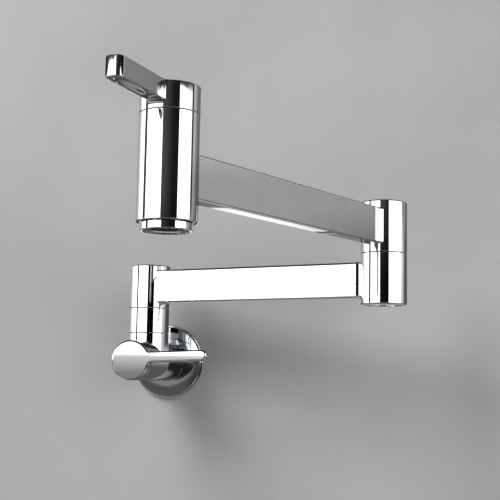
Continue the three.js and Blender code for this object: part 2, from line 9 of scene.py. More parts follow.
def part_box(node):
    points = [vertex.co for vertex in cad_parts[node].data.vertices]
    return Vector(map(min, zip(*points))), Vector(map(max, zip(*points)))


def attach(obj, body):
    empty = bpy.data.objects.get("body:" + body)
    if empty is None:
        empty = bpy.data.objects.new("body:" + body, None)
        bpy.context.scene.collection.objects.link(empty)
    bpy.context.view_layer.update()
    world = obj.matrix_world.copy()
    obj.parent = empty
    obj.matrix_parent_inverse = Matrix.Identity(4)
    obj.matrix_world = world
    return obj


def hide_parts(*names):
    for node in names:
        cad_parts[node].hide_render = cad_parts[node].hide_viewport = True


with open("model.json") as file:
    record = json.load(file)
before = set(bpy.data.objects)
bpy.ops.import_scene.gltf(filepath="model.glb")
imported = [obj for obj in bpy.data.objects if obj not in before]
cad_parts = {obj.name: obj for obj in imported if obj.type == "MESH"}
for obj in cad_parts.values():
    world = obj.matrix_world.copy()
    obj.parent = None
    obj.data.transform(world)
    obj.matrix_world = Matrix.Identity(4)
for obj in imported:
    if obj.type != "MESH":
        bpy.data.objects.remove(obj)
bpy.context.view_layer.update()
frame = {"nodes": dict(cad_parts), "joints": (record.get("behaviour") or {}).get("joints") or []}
bpy.context.scene.view_settings.view_transform = "Standard"


# ------------------------------------------------
# Wall flange: a spun brass escutcheon, chromed, that slides along the valve body up to the wall.
# Behind it lie a rubber gasket against the wall and an O-ring that grips the valve body.
# ------------------------------------------------

MM = 0.001
ROUND = 192  # facets round a turned piece
SMOOTH_LIMIT = math.radians(32)  # a sharper edge than this stays crisp
SAME = 0.02  # millimetres within which a point counts as lying on a surface
WELD = 1e-7  # metres within which two points become one
UPRIGHT = 0.1  # a face whose normal rises less than this is upright
ALONG = 0.999  # cosine above which two directions count as one
ON_AXIS = 1e-6  # a smaller radius than this is a point on the axis
TURNED_ALONE = 1e9  # no face is this large, so all of the piece is smoothed


class Wire:
    """A shader socket that can stand in a Python expression, and that makes the nodes around it."""

    def __init__(self, tree, socket=None):
        self.tree = tree
        self.socket = socket

    def node(self, kind, settings=None, sockets=None, out=0):
        made = self.tree.nodes.new(kind)
        for name, value in (settings or {}).items():
            setattr(made, name, value)
        for name, value in (sockets or {}).items():
            if isinstance(value, Wire):
                self.tree.links.new(value.socket, made.inputs[name])
            else:
                made.inputs[name].default_value = value
        return Wire(self.tree, made.outputs[out]) if len(made.outputs) else None

    def spot(self):
        """Where the shaded point lies on its piece."""
        return self.node("ShaderNodeTexCoord", out="Object")

    def math(self, operation, *values):
        return self.node("ShaderNodeMath", {"operation": operation}, dict(enumerate(values)))

    def __add__(self, other):
        return self.math("ADD", self, other)

    def __radd__(self, other):
        return self.math("ADD", other, self)

    def __sub__(self, other):
        return self.math("SUBTRACT", self, other)

    def __rsub__(self, other):
        return self.math("SUBTRACT", other, self)

    def __mul__(self, other):
        return self.math("MULTIPLY", self, other)

    def __rmul__(self, other):
        return self.math("MULTIPLY", other, self)

    def ramp(self, low, high, to_low=0.0, to_high=1.0):
        sockets = {"Value": self, "From Min": low, "From Max": high, "To Min": to_low, "To Max": to_high}
        return self.node("ShaderNodeMapRange", {"interpolation_type": "SMOOTHSTEP"}, sockets)


def material(name):
    """An empty material, and a first wire in its node tree."""
    made = bpy.data.materials.new(name)
    made.use_nodes = True
    made.node_tree.nodes.clear()
    return made, Wire(made.node_tree)


def noise(wire, place, scale, detail=3.0):
    return wire.node("ShaderNodeTexNoise", {}, {"Vector": place, "Scale": scale, "Detail": detail}, "Fac")


def mixed(wire, share, first, second):
    sockets = {"Factor": share, "A": (*first, 1.0), "B": (*second, 1.0)}
    return wire.node("ShaderNodeMix", {"data_type": "RGBA"}, sockets, 2)


def surface(wire, sockets):
    bsdf = wire.node("ShaderNodeBsdfPrincipled", {}, sockets)
    wire.node("ShaderNodeOutputMaterial", {}, {"Surface": bsdf})


def chrome(name, drawn=(1.0, 1.0, 1.0), turn=0.0):
    """Bright chrome plate over buffed brass. The last buffing lines are drawn out along each axis by
    these shares, once the axes are turned about Z."""
    made, wire = material(name)
    place = wire.spot()
    sockets = {"Vector": place, "Rotation": (0.0, 0.0, turn), "Scale": drawn}
    along = wire.node("ShaderNodeMapping", {"vector_type": "TEXTURE"}, sockets)
    lines = noise(wire, along, 1400.0, 2.0)
    haze = noise(wire, place, 45.0, 4.0)
    spots = noise(wire, place, 420.0, 2.0).ramp(0.66, 0.74)
    tint = mixed(wire, haze.ramp(0.35, 0.7), (0.60, 0.612, 0.628), (0.57, 0.583, 0.60))
    dull = 0.022 + 0.018 * haze + 0.012 * lines + 0.03 * spots
    swell = noise(wire, place, 26.0, 1.0)
    height = swell * 0.9 + lines * 0.012
    bump = wire.node("ShaderNodeBump", {}, {"Strength": 0.12, "Distance": 0.0004, "Height": height})
    surface(wire, {"Base Color": tint, "Metallic": 1.0, "Roughness": dull, "Normal": bump})
    return made


def rubber(name):
    """Black moulded rubber with a faint bloom."""
    made, wire = material(name)
    place = wire.spot()
    bloom = noise(wire, place, 260.0, 5.0)
    grain = noise(wire, place, 2600.0, 2.0)
    tint = mixed(wire, bloom.ramp(0.4, 0.75), (0.012, 0.012, 0.013), (0.045, 0.045, 0.047))
    bump = wire.node("ShaderNodeBump", {}, {"Strength": 0.3, "Distance": 0.0001, "Height": grain})
    surface(wire, {"Base Color": tint, "Roughness": 0.62 + 0.25 * bloom, "Normal": bump})
    return made


def arc(r, z, radius, start, end, steps=8):
    """Points of an arc about (r, z), from one angle to another in degrees."""
    turn = [math.radians(start + (end - start) * k / steps) for k in range(steps + 1)]
    return [(r + radius * math.cos(a), z + radius * math.sin(a)) for a in turn]


def in_scene(name, shape):
    """Turns a finished shape into an object of the scene."""
    data = bpy.data.meshes.new(name)
    shape.to_mesh(data)
    shape.free()
    made = bpy.data.objects.new(name, data)
    bpy.context.scene.collection.objects.link(made)
    return made


def mesh_object(name, shape):
    """Welds a shape, turns its faces outwards and puts it in the scene."""
    bmesh.ops.remove_doubles(shape, verts=shape.verts, dist=WELD)
    bmesh.ops.recalc_face_normals(shape, faces=shape.faces)
    return in_scene(name, shape)


def turned(name, profile, facets=ROUND):
    """A piece turned about Z from (radius, height) points in millimetres. It closes on the axis, or
    on itself."""
    shape = bmesh.new()
    rings = []
    for r, z in profile:
        count = facets if r > ON_AXIS else 1
        turn = [2 * math.pi * k / facets for k in range(count)]
        rings.append([shape.verts.new((r * MM * math.cos(a), r * MM * math.sin(a), z * MM)) for a in turn])
    pairs = list(zip(rings, rings[1:]))
    if profile[0][0] > ON_AXIS:
        pairs.append((rings[-1], rings[0]))
    for low, high in pairs:
        if len(low) == 1 and len(high) == 1:
            continue
        for k in range(facets):
            n = (k + 1) % facets
            corners = [low[k % len(low)], low[n % len(low)], high[n % len(high)], high[k % len(high)]]
            shape.faces.new(dict.fromkeys(corners))
    return mesh_object(name, shape)


def settle(piece):
    """Applies the piece's modifiers."""
    bpy.context.view_layer.update()
    graph = bpy.context.evaluated_depsgraph_get()
    data = bpy.data.meshes.new_from_object(piece.evaluated_get(graph))
    old = piece.data
    piece.modifiers.clear()
    piece.data = data
    bpy.data.meshes.remove(old)


def combine(piece, tool, how):
    step = piece.modifiers.new(how.lower(), "BOOLEAN")
    step.operation = how
    step.object = tool
    settle(piece)
    bpy.data.objects.remove(tool)
    return piece


def join(piece, tool):
    combine(piece, tool, "UNION")


def cut(piece, tool):
    combine(piece, tool, "DIFFERENCE")


def polish(piece, columns=(), flat=30.0):
    """Sets the mirror's normals: true to the axis on each (x, y, radius) column about Z, in millimetres,
    true to the plane on faces of more than flat square millimetres, and smooth over rounded edges."""
    data = piece.data
    for face in data.polygons:
        face.use_smooth = True
    data.set_sharp_from_angle(angle=SMOOTH_LIMIT)
    step = piece.modifiers.new("weighted", "WEIGHTED_NORMAL")
    step.keep_sharp = True
    settle(piece)
    data = piece.data
    normals = [corner.vector.copy() for corner in data.corner_normals]
    for face in data.polygons:
        if face.area > flat * MM * MM:
            on_column = any(
                abs((data.vertices[v].co.xy - Vector((x, y)) * MM).length - radius * MM) < SAME * MM
                for v in face.vertices for x, y, radius in columns
            ) and abs(face.normal.z) < UPRIGHT
            if not on_column:
                for loop in face.loop_indices:
                    normals[loop] = face.normal.copy()
        for x, y, radius in columns:
            for loop in face.loop_indices:
                away = data.vertices[data.loops[loop].vertex_index].co.xy - Vector((x, y)) * MM
                if abs(away.length - radius * MM) > SAME * MM:
                    continue
                outward = Vector((away.x, away.y, 0)).normalized()
                if abs(face.normal.dot(outward)) > ALONG:
                    normals[loop] = outward if face.normal.dot(outward) > 0 else -outward
    data.normals_split_custom_set(normals)
    return piece


def place(piece, body, finish, slot, *nodes, at=Matrix.Identity(4)):
    """Gives the piece its finish and puts it on its body, in place of the frame's nodes."""
    piece.data.materials.clear()
    piece.data.materials.append(finish)
    piece.data.transform(at)
    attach(piece, body)
    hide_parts(*nodes)
    return piece


def size(node):
    low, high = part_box(node)
    return (high - low) / MM


def level(node, end):
    """Height of a node's lower (0) or upper (1) end, in millimetres."""
    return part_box(node)[end].z / MM


TO_ROOM = Matrix.Rotation(math.pi / 2, 4, "X")  # an axis along +Z now points from the wall into the room
CLEAR = 0.3  # running clearance between pieces

flange_radius = size("wall_flange").x / 2
flange_face = size("wall_flange").y
flange_rim = 4.7
rim_round = 0.9
lip_width = 1.1
lip_height = 2.1
flange_wall = 1.6
body_radius = size("shutoff_handle").z / 2
flange_bore = body_radius + CLEAR
bore_edge = 0.4
boss_wall = 2.6
boss_radius = flange_bore + boss_wall
boss_back = 0.5
foot_edge = 0.3
lip_edge = 0.4
hollow_radius = flange_radius - 2 * flange_wall
hollow_depth = flange_rim - flange_wall
plate_radius = flange_radius - lip_width
face_run = plate_radius - rim_round - boss_radius
face_rise = flange_face - flange_rim
DOME_STEPS = 16


def dome(share):
    """A point of the flange's shallow face, from its rim at 0 to its boss at 1."""
    return (boss_radius + face_run * (1 - share), flange_rim + face_rise * math.sin(share * math.pi / 2))


flange_profile = [
    (hollow_radius, 0.0), (flange_radius - foot_edge, 0.0), (flange_radius, foot_edge),
    *arc(flange_radius - lip_edge, lip_height - lip_edge, lip_edge, 0, 90, 6), (plate_radius, lip_height),
    *arc(plate_radius - rim_round, flange_rim - rim_round, rim_round, 0, 90, 12),
    *[dome(k / DOME_STEPS) for k in range(1, DOME_STEPS + 1)],
    (flange_bore + bore_edge, flange_face), (flange_bore, flange_face - bore_edge),
    (flange_bore, boss_back), (boss_radius, boss_back), (boss_radius, hollow_depth),
    (hollow_radius, hollow_depth),
]
flange_chrome = chrome("flange_chrome", (1.0, 5.0, 1.0))
flange = polish(turned("wall_flange_dressed", flange_profile), flat=TURNED_ALONE)
place(flange, "wall_base", flange_chrome, "polished_chrome", "wall_flange", at=TO_ROOM)

gasket_outer = size("flange_gasket").x / 2
gasket_width = 4.0
gasket_inner = gasket_outer - gasket_width
gasket_depth = size("flange_gasket").y
gasket_edge = 0.5
gasket_profile = [
    *arc(gasket_outer - gasket_edge, gasket_depth - gasket_edge, gasket_edge, 0, 90, 4),
    *arc(gasket_inner + gasket_edge, gasket_depth - gasket_edge, gasket_edge, 90, 180, 4),
    *arc(gasket_inner + gasket_edge, gasket_edge, gasket_edge, 180, 270, 4),
    *arc(gasket_outer - gasket_edge, gasket_edge, gasket_edge, 270, 360, 4),
]
black_rubber = rubber("nitrile_rubber")
gasket = polish(turned("flange_gasket_dressed", gasket_profile), flat=TURNED_ALONE)
place(gasket, "wall_base", black_rubber, "black_rubber", "flange_gasket", at=TO_ROOM)


def dress(finish, *nodes):
    """Gives nodes of the frame their finish."""
    for node in nodes:
        slots = frame["nodes"][node].data.materials
        slots.clear()
        slots.append(finish)


dress(black_rubber, "flange_o_ring")


# ------------------------------------------------
# Valve body: a brass casting with a level barrel and an upright stub, bored, then polished and chromed.
# The supply nipple screws into the back, the valve cartridge into the front, the spindle into the stub.
# ------------------------------------------------

def rod(name, radius, low, high, low_round=0.0, high_round=0.0, facets=ROUND):
    """A turned rod with rounded ends, in millimetres."""
    lower = [(radius, low)]
    upper = [(radius, high)]
    if low_round:
        lower = arc(radius - low_round, low + low_round, low_round, -90, 0)
    if high_round:
        upper = arc(radius - high_round, high - high_round, high_round, 0, 90)
    return turned(name, [(0.0, low), *lower, *upper, (0.0, high)], facets)


def moved(piece, matrix):
    piece.data.transform(matrix)
    return piece


def shift(x=0.0, y=0.0, z=0.0):
    return Matrix.Translation(Vector((x, y, z)) * MM)


BORED = 96  # facets round a bore
PAST = 1  # millimetres that a cutter or a joined piece reaches past a face

base_axis = Vector(frame["joints"][1]["pos_m"]) / MM
column_out = -base_axis.y
column_radius = size("base_collar").x / 2
body_length = size("valve_body").y
stub_top = level("valve_body", 1)
seat_offset = 3.0
cartridge_seat = column_out - seat_offset
inlet_depth = 16.0
inlet_radius = 9.9
thread_depth = 0.6
thread_pitch = 1.814
chamber_radius = 11.3
passage_radius = 5.0
spindle_hole = size("base_spindle").x / 2 + CLEAR
spindle_foot = level("base_spindle", 0)
spindle_step = 3.5
under_spindle = spindle_hole - spindle_step
body_back_edge = 0.3
body_front_edge = 0.4
passage_cover = 2.0
stub_foot = 1.0
stub_edge = 0.5

thread_root = inlet_radius + thread_depth
waterway = [(0.0, -PAST), (thread_root, -PAST)]
ridge = 0.8
while ridge + thread_pitch < inlet_depth:
    crest_start, crest_end, root_start = (ridge + share * thread_pitch for share in (0.4, 0.5, 0.9))
    waterway += [(thread_root, ridge), (inlet_radius, crest_start)]
    waterway += [(inlet_radius, crest_end), (thread_root, root_start)]
    ridge += thread_pitch
waterway += [
    (inlet_radius, inlet_depth), (passage_radius, inlet_depth), (passage_radius, cartridge_seat),
    (chamber_radius, cartridge_seat), (chamber_radius, body_length + PAST), (0.0, body_length + PAST),
]

body = rod("valve_body_dressed", body_radius, 0.0, body_length, body_back_edge, body_front_edge)
moved(body, TO_ROOM)
stub = rod("stub", column_radius, stub_foot, stub_top, 0.0, stub_edge)
join(body, moved(stub, shift(0, -column_out)))
cut(body, moved(turned("waterway", waterway, BORED), TO_ROOM))
bore_floor = passage_radius + passage_cover
bore_seat = spindle_foot - CLEAR
bore = turned("spindle_bore", [
    (0.0, bore_floor), (under_spindle, bore_floor), (under_spindle, bore_seat),
    (spindle_hole, bore_seat), (spindle_hole, stub_top + PAST), (0.0, stub_top + PAST),
], BORED)
cut(body, moved(bore, shift(0, -column_out)))
body_chrome = chrome("body_chrome", (3.0, 1.0, 1.0))
polish(body, [(0.0, -column_out, column_radius)], flat=60.0)


def level_column(piece, radius):
    """Sets true normals on a round barrel along Y."""
    data = piece.data
    normals = [corner.vector.copy() for corner in data.corner_normals]
    for face in data.polygons:
        for loop in face.loop_indices:
            co = data.vertices[data.loops[loop].vertex_index].co
            outward = Vector((co.x, 0.0, co.z))
            on_barrel = abs(outward.length - radius * MM) < SAME * MM
            outward.normalize()
            if on_barrel and face.normal.dot(outward) > ALONG:
                normals[loop] = outward
    data.normals_split_custom_set(normals)


level_column(body, body_radius)
place(body, "wall_base", body_chrome, "polished_chrome", "valve_body")


# ------------------------------------------------
# Valve cartridges: a turned brass housing with two lapped ceramic discs, a brass stem, a nut and
# rubber seals. One sits in the valve body and the same again in the spout.
# ------------------------------------------------

def brass(name):
    """Plain turned brass: fine lathe rings and a little tarnish."""
    made, wire = material(name)
    spot = wire.spot()
    tarnish = noise(wire, spot, 180.0, 5.0)
    rings = noise(wire, wire.node("ShaderNodeMapping", {}, {"Vector": spot, "Scale": (1, 1, 14)}), 700.0)
    tint = mixed(wire, tarnish.ramp(0.35, 0.75), (0.72, 0.50, 0.19), (0.50, 0.33, 0.13))
    bump = wire.node("ShaderNodeBump", {}, {"Strength": 0.25, "Distance": 0.00005, "Height": rings})
    surface(wire, {"Base Color": tint, "Metallic": 1.0, "Roughness": 0.22 + 0.25 * tarnish, "Normal": bump})
    return made


def ceramic(name):
    """Lapped alumina: off white, with a very fine grain."""
    made, wire = material(name)
    spot = wire.spot()
    grain = noise(wire, spot, 1500.0, 3.0)
    tint = mixed(wire, grain, (0.86, 0.85, 0.80), (0.93, 0.92, 0.89))
    surface(wire, {"Base Color": tint, "Roughness": 0.16 + 0.12 * grain, "Coat Weight": 0.3 + 0.2 * grain})
    return made


turned_brass = brass("turned_brass")
white_ceramic = ceramic("lapped_ceramic")
for valve in ("shutoff", "spout"):
    dress(turned_brass, f"{valve}_cartridge_housing", f"{valve}_stem", f"{valve}_cartridge_nut")
    dress(white_ceramic, f"{valve}_disc_fixed", f"{valve}_disc_moving")
    dress(black_rubber, f"{valve}_seat_seal", f"{valve}_stem_o_ring")


# ------------------------------------------------
# Shutoff handle: a flat brass disc and lever cast as one, chromed, in front of the valve body.
# A grub screw from below holds it on the stem.
# ------------------------------------------------

def leave(column, height, blend):
    """Where an edge at a height leaves a round column: the centre and start angle of its concave blend."""
    y = height + blend
    x = math.sqrt((column + blend) ** 2 - y ** 2)
    return Vector((x, y)), math.degrees(math.atan2(-y, -x))


def lever_end(reach, upper, lower, corner, crown=0.0):
    """The tip of a lever, from its lower to its upper edge, its end face crowned a little."""
    points = arc(reach - crown - corner, corner - lower, corner, -90, -8)
    points += arc(reach - crown - corner, upper - corner, corner, 8, 90)
    middle = (upper - lower) / 2
    half = (upper + lower) / 2
    crowned = []
    for x, y in points:
        bulge = crown * (1 - ((y - middle) / half) ** 2)
        share = max(0.0, min(1.0, (x - reach + 2 * corner) / corner))
        crowned.append((x + bulge * share, y))
    return crowned


def keyhole(column, blend, upper, lower, tip):
    """Outline of a disc with a lever along +X, anticlockwise."""
    top, top_angle = leave(column, upper, blend)
    low, low_angle = leave(column, lower, blend)
    start = math.degrees(math.atan2(top.y, top.x))
    end = 360 - math.degrees(math.atan2(low.y, low.x))
    return [
        *tip,
        *arc(top.x, top.y, blend, -90, top_angle, 6),
        *arc(0.0, 0.0, column, start, end, 120)[1:-1],
        *arc(low.x, -low.y, blend, -low_angle, 90, 6),
    ]


EDGE_STEPS = 6  # steps round a plate's edge
APART = 1e-3  # millimetres under which two points of an outline count as one
LEAST_LEAN = 0.4  # keeps a sharp corner of an outline from running far in
SMALL = 48  # facets round a screw hole or a port
STEM = 64  # facets round a stem's hole


def inset(outline, amount):
    """An outline moved inwards by an amount."""
    moved_in = []
    for k, point in enumerate(outline):
        before = Vector(point) - Vector(outline[k - 1])
        after = Vector(outline[(k + 1) % len(outline)]) - Vector(point)
        normal = Vector((-before.y, before.x)).normalized() + Vector((-after.y, after.x)).normalized()
        normal.normalize()
        lean = max(LEAST_LEAN, normal.dot(Vector((-after.y, after.x)).normalized()))
        moved_in.append(Vector(point) + normal * amount / lean)
    return moved_in


def slab(name, outline, low, high, low_round, high_round):
    """A plate with rounded edges from an anticlockwise outline, in millimetres."""
    clean = [p for k, p in enumerate(outline) if (Vector(p) - Vector(outline[k - 1])).length > APART]
    shape = bmesh.new()
    rings = []
    for radius, edge, start, up in ((low_round, low, 0, 1), (high_round, high, 90, -1)):
        for k in range(EDGE_STEPS + 1):
            angle = math.radians(start + 90 * k / EDGE_STEPS)
            depth = radius * (1 - math.sin(angle))
            z = edge + up * radius * (1 - up * math.cos(angle))
            rings.append([shape.verts.new((p.x * MM, p.y * MM, z * MM)) for p in inset(clean, depth)])
    for first, second in zip(rings, rings[1:]):
        for k in range(len(clean)):
            n = (k + 1) % len(clean)
            shape.faces.new((first[k], first[n], second[n], second[k]))
    shape.faces.new(reversed(rings[0]))
    shape.faces.new(rings[-1])
    return mesh_object(name, shape)


hub_front = -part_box("shutoff_handle")[0].y / MM
hub_depth = size("shutoff_handle").y
hub_back = hub_front - hub_depth
lever_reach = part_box("shutoff_handle")[1].x / MM
lever_upper = 6.4
lever_lower = 2.6
lever_depth = 6.0
lever_blend = 3.0
lever_corner = 4.0
lever_tilt = math.radians(2.5)
back_round = 1.2
front_round = 1.7
tip_crown = 0.4
hub_edge = 0.4
hub_sunk = 2
stem_radius = 4.0
screw_hole = 1.8
stem_end = -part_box("shutoff_stem")[0].y / MM
screw_level = hub_back + hub_depth / 2

tip = lever_end(lever_reach, lever_upper, lever_lower, lever_corner, tip_crown)
outline = keyhole(body_radius, lever_blend, lever_upper, lever_lower, tip)
lever_back = hub_front - lever_depth
shutoff = slab("shutoff_handle_dressed", outline, lever_back, hub_front, back_round, front_round)
join(shutoff, rod("hub", body_radius, hub_back, hub_front - hub_sunk, hub_edge))
moved(shutoff, Matrix.Rotation(lever_tilt, 4, "Z"))
stem_hole = rod("stem_hole", stem_radius + CLEAR, hub_back - PAST, stem_end + CLEAR, facets=STEM)
cut(shutoff, stem_hole)
side_hole = rod("side_hole", screw_hole, 0.0, body_radius + PAST, facets=SMALL)
moved(side_hole, Matrix.Rotation(math.pi / 2, 4, "X"))
cut(shutoff, moved(side_hole, shift(0, 0, screw_level)))
polish(shutoff, [(0.0, 0.0, body_radius)], flat=12.0)
handle_chrome = chrome("shutoff_handle_chrome", (4.0, 1.0, 1.0))
place(shutoff, "shutoff_lever", handle_chrome, "polished_chrome", "shutoff_handle", at=TO_ROOM)


def steel(name):
    """Plain stainless steel with fine turning marks."""
    made, wire = material(name)
    spot = wire.spot()
    marks = noise(wire, wire.node("ShaderNodeMapping", {}, {"Vector": spot, "Scale": (1, 12, 1)}), 900.0)
    tint = mixed(wire, marks, (0.50, 0.51, 0.53), (0.60, 0.61, 0.62))
    surface(wire, {"Base Color": tint, "Metallic": 1.0, "Roughness": 0.24 + 0.16 * marks})
    return made


plain_steel = steel("stainless_steel")
dress(plain_steel, "shutoff_set_screw", "spout_set_screw")
dress(plain_steel, "base_retaining_washer", "elbow_retaining_washer")


# ------------------------------------------------
# Base swivel: a chromed collar on the stub, and a hollow brass spindle with three O-rings that carries
# the water up. A washer and a nut on its stud hold the arm down.
# ------------------------------------------------

def ring(name, inner, outer, low, high, chamfer):
    """A turned ring, chamfered outside."""
    return turned(name, [
        (inner, low), (outer - chamfer, low), (outer, low + chamfer),
        (outer, high - chamfer), (outer - chamfer, high), (inner, high),
    ])


def over(axis):
    """Puts a piece that is drawn about Z on an upright axis."""
    return Matrix.Translation(Vector((axis.x, axis.y, 0)) * MM)


seam = 0.1
seam_chamfer = 0.45
base_at = over(base_axis)
collar_top = level("base_collar", 1)
collar = ring("base_collar_dressed", spindle_hole, column_radius, stub_top + seam, collar_top, seam_chamfer)
polish(collar, [(0.0, 0.0, column_radius)], flat=TURNED_ALONE)
column_chrome = chrome("column_chrome", (1.0, 1.0, 4.0))
place(collar, "wall_base", column_chrome, "polished_chrome", "base_collar", at=base_at)
dress(turned_brass, "base_spindle", "base_retaining_nut")
dress(black_rubber, "base_spindle_seal", "base_o_ring_lower", "base_o_ring_upper")


# ------------------------------------------------
# Lower arm: a flat brass tube brazed between two turned sleeves, ground, buffed and chromed as one.
# Water goes through its channel from the base spindle to the elbow spindle.
# ------------------------------------------------

ROOTED = 0.5  # share of a column's radius at which a bar starts, inside the column


def bar(column, blend, half, reach, far=None, root=None):
    """Outline of a flat bar along +X that leaves a column at the origin, where it may be thicker. It ends
    square, or eases by an angle and then fillets into a far column."""
    near, angle = leave(column, root or half, blend)
    inside = column * ROOTED
    rise = (near * (column / (column + blend))).y
    upper = [(inside, rise), *arc(near.x, near.y, blend, angle, -90, 10)]
    if far:
        far_column, fillet, ease, lean = far
        rise = half + ease * (1 - math.cos(lean)) + fillet * math.cos(lean)
        run = (ease - fillet) * math.sin(lean)
        centre = math.sqrt((far_column + fillet) ** 2 - rise ** 2)
        turn = math.degrees(lean) - 90
        upper += arc(reach - centre - run, half + ease, ease, -90, turn, 5)
        upper += arc(reach - centre, rise, fillet, turn, -math.degrees(math.atan2(rise, centre)), 8)
        upper.append((reach - far_column * ROOTED, rise * far_column / (far_column + fillet)))
    else:
        upper.append((reach, half))
    return [(x, -y) for x, y in upper] + upper[::-1]


def flare(piece, middle, growth, length):
    """Makes a bar along +X taller towards the origin, by a share of its height."""
    for vertex in piece.data.vertices:
        share = 1 - vertex.co.x / (length * MM)
        vertex.co.z = middle * MM + (vertex.co.z - middle * MM) * (1 + growth * share)
    return piece


def block(name, low, high):
    shape = bmesh.new()
    bmesh.ops.create_cube(shape, size=1.0)
    for vertex in shape.verts:
        vertex.co = Vector(low[i] + (high[i] - low[i]) * (vertex.co[i] + 0.5) for i in range(3)) * MM
    return mesh_object(name, shape)


def pipe(name, radius, start, end, height):
    """A round hole along +X at a height."""
    made = moved(rod(name, radius, start, end, facets=SMALL), Matrix.Rotation(math.pi / 2, 4, "Y"))
    return moved(made, shift(0, 0, height))


def sleeve_inside(low, high, middle, low_recess, high_recess):
    """What is bored out of a sleeve: the spindle's hole, its water groove, and a recess at each end."""
    hole = spindle_hole
    groove = 11.3
    half = 4.3
    low_radius, low_end = low_recess
    high_radius, high_end = high_recess
    return turned("sleeve_inside", [
        (0.0, low - PAST), (low_radius, low - PAST), (low_radius, low_end), (hole, low_end),
        (hole, middle - half), (groove, middle - half), (groove, middle + half), (hole, middle + half),
        (hole, high_end), (high_radius, high_end), (high_radius, high + PAST), (0.0, high + PAST),
    ], BORED)


elbow_axis = Vector(frame["joints"][2]["pos_m"]) / MM
lower_run = (elbow_axis - base_axis).xy
lower_length = lower_run.length
lower_turn = math.atan2(lower_run.y, lower_run.x)
arm_half = 6.0
root_half = 9.6
root_growth = 0.02
arm_height = 26.2
arm_edge = 1.5
arm_lines = (8.0, 1.0, 1.0)
sleeve_edge = 1.0
arm_wall = 2.6
port_radius = 3.8
port_start = 10.0
sleeve_bottom = collar_top + seam
sleeve_height = 35.4
sleeve_top = collar_top + sleeve_height
lower_level = (sleeve_bottom + sleeve_top) / 2
elbow_radius = 17.0
elbow_bottom = level("lower_arm", 0)
elbow_middle = level("lower_arm", 1)
lid_recess = size("base_cap").x / 2 + CLEAR
sharp_blend = 1.2
elbow_fillet = 3.0
elbow_ease = 30.0
elbow_lean = math.radians(14.0)
washer_recess = 13.7
washer_roof = 1.7
stud_height = 5.0
nut_floor = level("base_spindle", 1) - stud_height
plug_floor = 8.3
arm_bottom = lower_level - arm_height / 2
arm_top = lower_level + arm_height / 2

elbow_end = (elbow_radius, elbow_fillet, elbow_ease, elbow_lean)
outline = bar(column_radius, sharp_blend, arm_half, lower_length, elbow_end, root_half)
lower_arm = slab("lower_arm_dressed", outline, arm_bottom, arm_top, arm_edge, arm_edge)
flare(lower_arm, lower_level, root_growth, lower_length)
base_sleeve = rod("base_sleeve", column_radius, sleeve_bottom, sleeve_top, seam_chamfer, sleeve_edge)
join(lower_arm, base_sleeve)
elbow_sleeve = rod("elbow_sleeve", elbow_radius, elbow_bottom, elbow_middle, sleeve_edge, seam_chamfer)
join(lower_arm, moved(elbow_sleeve, shift(lower_length)))
inside = sleeve_inside(sleeve_bottom, sleeve_top, lower_level, (washer_recess, sleeve_bottom + washer_roof),
                       (lid_recess, nut_floor))
cut(lower_arm, inside)
inside = sleeve_inside(elbow_bottom, elbow_middle, lower_level, (lid_recess, elbow_bottom + plug_floor),
                       (spindle_hole, elbow_middle))
cut(lower_arm, moved(inside, shift(lower_length)))
channel = block("channel", (column_radius + PAST, arm_wall - arm_half, arm_bottom + arm_wall),
                (lower_length - elbow_radius - PAST, arm_half - arm_wall, arm_top - arm_wall))
cut(lower_arm, channel)
port = pipe("port", port_radius, port_start, column_radius + 2 * PAST, lower_level)
cut(lower_arm, port)
port = pipe("port", port_radius, lower_length - elbow_radius - 2 * PAST, lower_length - port_start,
            lower_level)
cut(lower_arm, port)
polish(lower_arm, [(0.0, 0.0, column_radius), (lower_length, 0.0, elbow_radius)], flat=12.0)
lower_chrome = chrome("lower_arm_chrome", arm_lines, lower_turn)
lower_at = base_at @ Matrix.Rotation(lower_turn, 4, "Z")
place(lower_arm, "lower_arm", lower_chrome, "polished_chrome", "lower_arm", at=lower_at)


lid_edge = 0.5
lid_foot = 0.3
lid_crown = 0.25
CROWN_SHARES = (0.0, 0.12, 0.25, 0.4, 0.55, 0.7, 0.85)


def lid(name, node):
    """A screwed lid, crowned a little on its outer face."""
    radius = size(node).x / 2
    low, high = level(node, 0), level(node, 1)
    flat = radius - lid_edge
    profile = [(0.0, low), *arc(radius - lid_foot, low + lid_foot, lid_foot, -90, 0)]
    profile += arc(flat, high - lid_crown - lid_edge, lid_edge, 0, 86)
    profile += [(flat * share, high - lid_crown * share * share) for share in reversed(CROWN_SHARES)]
    return turned(name, profile)


lid_chrome = chrome("lid_chrome")
base_cap = polish(lid("base_cap_dressed", "base_cap"), flat=TURNED_ALONE)
place(base_cap, "lower_arm", lid_chrome, "polished_chrome", "base_cap", at=base_at)


def acetal(name):
    """Plain white acetal, slightly waxy."""
    made, wire = material(name)
    spot = wire.spot()
    cloud = noise(wire, spot, 300.0, 3.0)
    tint = mixed(wire, cloud, (0.80, 0.80, 0.77), (0.88, 0.88, 0.85))
    surface(wire, {"Base Color": tint, "Roughness": 0.35 + 0.15 * cloud})
    return made


white_acetal = acetal("white_acetal")
dress(white_acetal, "base_thrust_washer", "elbow_thrust_washer")


# ------------------------------------------------
# Elbow swivel: a brass spindle with a hexagon head and four O-rings joins the two arms. A chromed plug
# closes the sleeve below it.
# ------------------------------------------------

